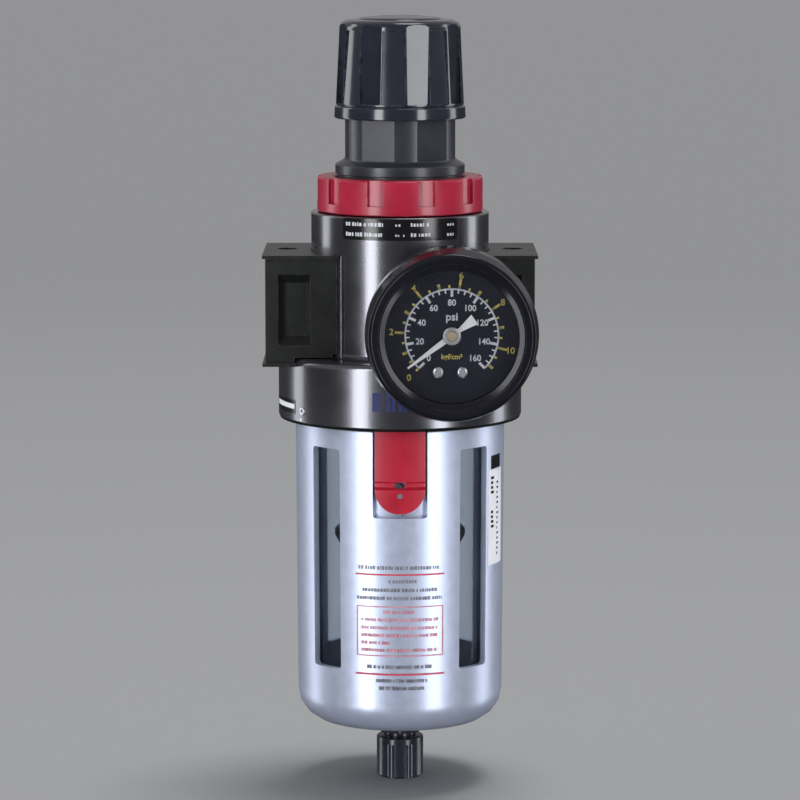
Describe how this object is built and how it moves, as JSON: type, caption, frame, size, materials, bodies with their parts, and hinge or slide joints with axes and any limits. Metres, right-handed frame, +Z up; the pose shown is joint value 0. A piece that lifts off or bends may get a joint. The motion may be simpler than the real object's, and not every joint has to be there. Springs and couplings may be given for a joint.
{
  "type": "air pressure regulator",
  "caption": "Compressed-air filter-regulator with lift-and-turn knob, side port blocks, front pressure gauge and guarded bowl with drain cock.",
  "frame": {"origin": "where the port (pipe) axis crosses the regulator's vertical axis", "axes": "+Z up the vertical axis towards the knob, +X along the air flow from inlet to outlet, -Y towards the gauge at the front"},
  "size_m": [0.09, 0.1013, 0.2555],
  "materials": {
    "gunmetal": "gloss",
    "black_nylon": "satin",
    "knob_plastic": "gloss",
    "red_plastic": "gloss",
    "silver_paint": "satin",
    "clear_polycarbonate": "gloss",
    "steel": "satin",
    "brass": "satin",
    "rubber": "matte",
    "filter_resin": "matte",
    "lens": "gloss",
    "dial_enamel": "satin",
    "pointer_enamel": "satin"
  },
  "bodies": {
    "body": {"body_casting": "gunmetal", "inlet_port_block": "black_nylon", "outlet_port_block": "black_nylon", "inlet_port_insert": "brass", "outlet_port_insert": "brass", "rear_gauge_plug": "steel", "bonnet": "black_nylon", "lock_ring": "red_plastic", "diaphragm": "rubber", "valve_spring": "steel", "valve_guide": "brass", "adjusting_spring": "steel", "deflector": "black_nylon", "filter_element": "filter_resin", "filter_baffle": "black_nylon", "baffle_stud": "black_nylon", "gauge_case": "black_nylon", "gauge_bezel": "black_nylon", "gauge_window": "lens", "gauge_dial": "dial_enamel", "dial_screw_1": "steel", "dial_screw_2": "steel", "gauge_socket": "brass", "bourdon_tube": "brass", "movement_rear_plate": "brass", "movement_front_plate": "brass", "movement_pillar_1": "brass", "movement_pillar_2": "brass"},
    "screw": {"adjusting_screw": "steel", "screw_clip": "steel"},
    "knob": {"adjusting_knob": "knob_plastic", "knob_cap": "knob_plastic"},
    "nut": {"adjusting_nut": "brass"},
    "valve_train": {"diaphragm_plate": "steel", "relief_seat": "brass", "valve_stem": "steel", "valve_poppet": "brass"},
    "bowl_unit": {"bowl": "clear_polycarbonate", "bowl_guard": "silver_paint", "bowl_o_ring": "rubber", "latch_spring": "steel", "drain_body": "black_nylon", "drain_seal": "rubber", "drain_nut": "black_nylon"},
    "latch": {"latch_button": "red_plastic"},
    "drain_cock": {"drain_knob": "black_nylon"},
    "pointer": {"pinion_shaft": "steel", "gauge_pointer": "pointer_enamel", "pointer_hub": "brass"},
    "sector": {"sector_gear": "brass"}
  },
  "joints": [
    {"name": "screw_turn", "type": "hinge", "parent": "body", "child": "screw", "pos_m": [0, 0, 0.073], "axis": [0, 0, -1], "range_deg": [0, 1800]},
    {"name": "knob_lift", "type": "slide", "parent": "screw", "child": "knob", "axis": [0, 0, 1], "range_m": [0, 0.0035]},
    {"name": "nut_slide", "type": "slide", "parent": "body", "child": "nut", "axis": [0, 0, -1], "range_m": [0, 0.0063], "deforming": ["adjusting_spring"]},
    {"name": "valve_slide", "type": "slide", "parent": "body", "child": "valve_train", "axis": [0, 0, -1], "range_m": [0, 0.0015], "stiffness_N_per_m": 2000, "springref_m": -0.001, "deforming": ["valve_spring", "diaphragm"]},
    {"name": "bowl_turn", "type": "hinge", "parent": "body", "child": "bowl_unit", "pos_m": [0, 0, -0.033], "axis": [0, 0, 1], "range_deg": [0, 45]},
    {"name": "latch_slide", "type": "slide", "parent": "bowl_unit", "child": "latch", "axis": [0, 0, -1], "range_m": [0, 0.0012], "stiffness_N_per_m": 1500, "springref_m": -0.001, "deforming": ["latch_spring"]},
    {"name": "drain_turn", "type": "hinge", "parent": "bowl_unit", "child": "drain_cock", "pos_m": [0, 0, -0.15], "axis": [0, 0, 1], "range_deg": [0, 180]},
    {"name": "pointer_turn", "type": "hinge", "parent": "body", "child": "pointer", "pos_m": [0.0165, -0.053, -0.0043], "axis": [0, 1, 0], "range_deg": [-8, 262], "stiffness_Nm_per_rad": 0.0001},
    {"name": "sector_turn", "type": "hinge", "parent": "body", "child": "sector", "pos_m": [0.0165, -0.047, -0.0156], "axis": [0, 1, 0], "range_deg": [-42.5, 2]}
  ],
  "couplings": [
    {"joint": "nut_slide", "follows": "screw_turn", "m_per_rad": 0.00019894},
    {"joint": "sector_turn", "follows": "pointer_turn", "ratio": -0.16}
  ]
}
